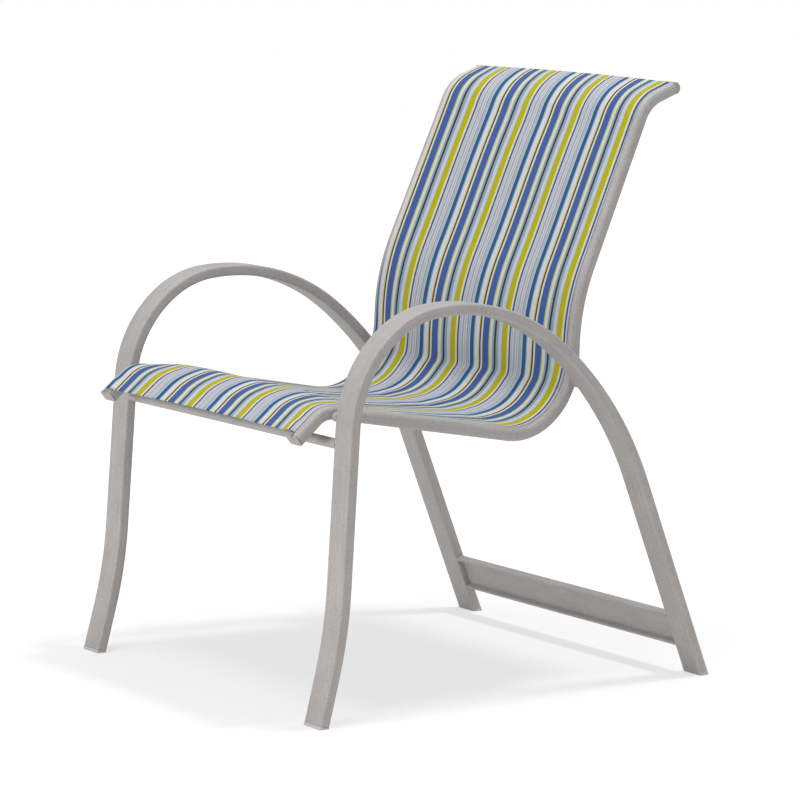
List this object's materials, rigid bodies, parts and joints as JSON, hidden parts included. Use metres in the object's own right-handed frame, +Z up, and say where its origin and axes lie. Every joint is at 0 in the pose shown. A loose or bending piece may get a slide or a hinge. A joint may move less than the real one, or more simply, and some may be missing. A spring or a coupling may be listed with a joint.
{
  "type": "sling patio chair",
  "caption": "Stacking armchair with bent flat-tube side frames, curved sling rails and a striped woven sling over seat and back.",
  "frame": {"origin": "on the floor, under the middle of the chair's bounding box", "axes": "+Z up, the chair faces -Y, +X towards the sitter's left"},
  "size_m": [0.6278, 0.7712, 0.9141],
  "materials": {
    "coat": "matte",
    "cap_plastic": "matte",
    "glide_nylon": "satin",
    "steel": "satin",
    "sling": "matte"
  },
  "bodies": {
    "root": {"side_frame_left": "coat", "side_frame_right": "coat", "sling_rail_left": "coat", "sling_rail_right": "coat", "front_spacer_left": "coat", "front_spacer_right": "coat", "rear_spacer_left": "coat", "rear_spacer_right": "coat", "rail_front_cap_left": "cap_plastic", "rail_front_cap_right": "cap_plastic", "rail_top_cap_left": "cap_plastic", "rail_top_cap_right": "cap_plastic", "spline_rod_left": "cap_plastic", "spline_rod_right": "cap_plastic", "seat_bar_plug_left": "cap_plastic", "seat_bar_plug_right": "cap_plastic", "back_bar_plug_left": "cap_plastic", "back_bar_plug_right": "cap_plastic", "front_glide_left": "glide_nylon", "front_glide_right": "glide_nylon", "rear_glide_left": "glide_nylon", "rear_glide_right": "glide_nylon", "front_bolt_left": "steel", "front_bolt_right": "steel", "rear_bolt_left": "steel", "rear_bolt_right": "steel", "front_rivet_nut_left": "steel", "front_rivet_nut_right": "steel", "rear_rivet_nut_left": "steel", "rear_rivet_nut_right": "steel", "front_cross_tube": "coat", "rear_stretcher": "coat", "seat_spreader_bar": "coat", "back_spreader_bar": "coat", "sling_fabric": "sling"}
  },
  "joints": []
}
